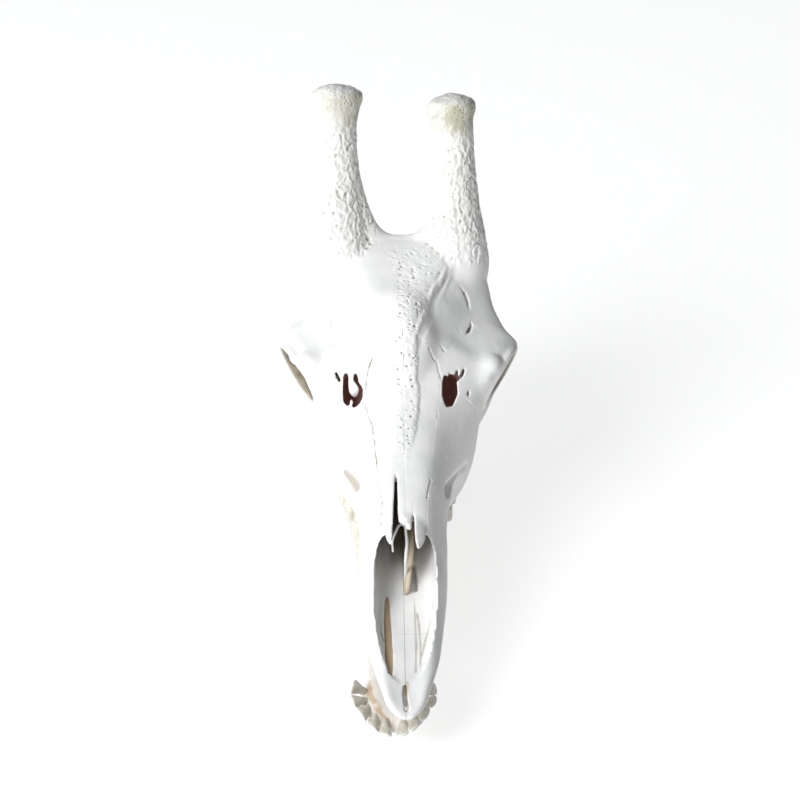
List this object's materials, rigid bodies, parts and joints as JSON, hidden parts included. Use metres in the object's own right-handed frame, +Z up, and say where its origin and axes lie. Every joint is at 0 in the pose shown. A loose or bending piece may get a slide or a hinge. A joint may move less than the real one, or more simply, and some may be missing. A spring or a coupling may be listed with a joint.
{
  "type": "giraffe skull",
  "caption": "Life-size giraffe skull with its lower jaw, for display: long tapering face, open nose, side-facing orbits, knobbed ossicones and separate facial bones; rests on its jaw.",
  "frame": {"origin": "centre of the whole skull's box in plan, on the floor that the lower jaw rests on", "axes": "+Z up; -Y towards the muzzle and the camera, +Y towards the back of the skull and the ossicones; +X to the skull's own left, which is the right of a viewer in front"},
  "size_m": [0.257, 0.6198, 0.4783],
  "materials": {
    "bone": "dry weathered bone, bleached nearly white, matte",
    "stained_bone": "dry bone with yellow-green stains and grey pits, matte",
    "jaw_bone": "dry bone, a little darker, with off-white worn enamel on the teeth",
    "inner_bone": "thin beige-brown bone inside the nose, matte"
  },
  "bodies": {
    "root": {"cranium": "bone", "maxilla_left": "bone", "maxilla_right": "bone", "nasal_left": "bone", "nasal_right": "bone", "premaxilla_left": "bone", "premaxilla_right": "bone", "ossicone_left": "stained_bone", "ossicone_right": "stained_bone", "mandible_left": "jaw_bone", "mandible_right": "jaw_bone", "vomer": "inner_bone"}
  },
  "joints": []
}
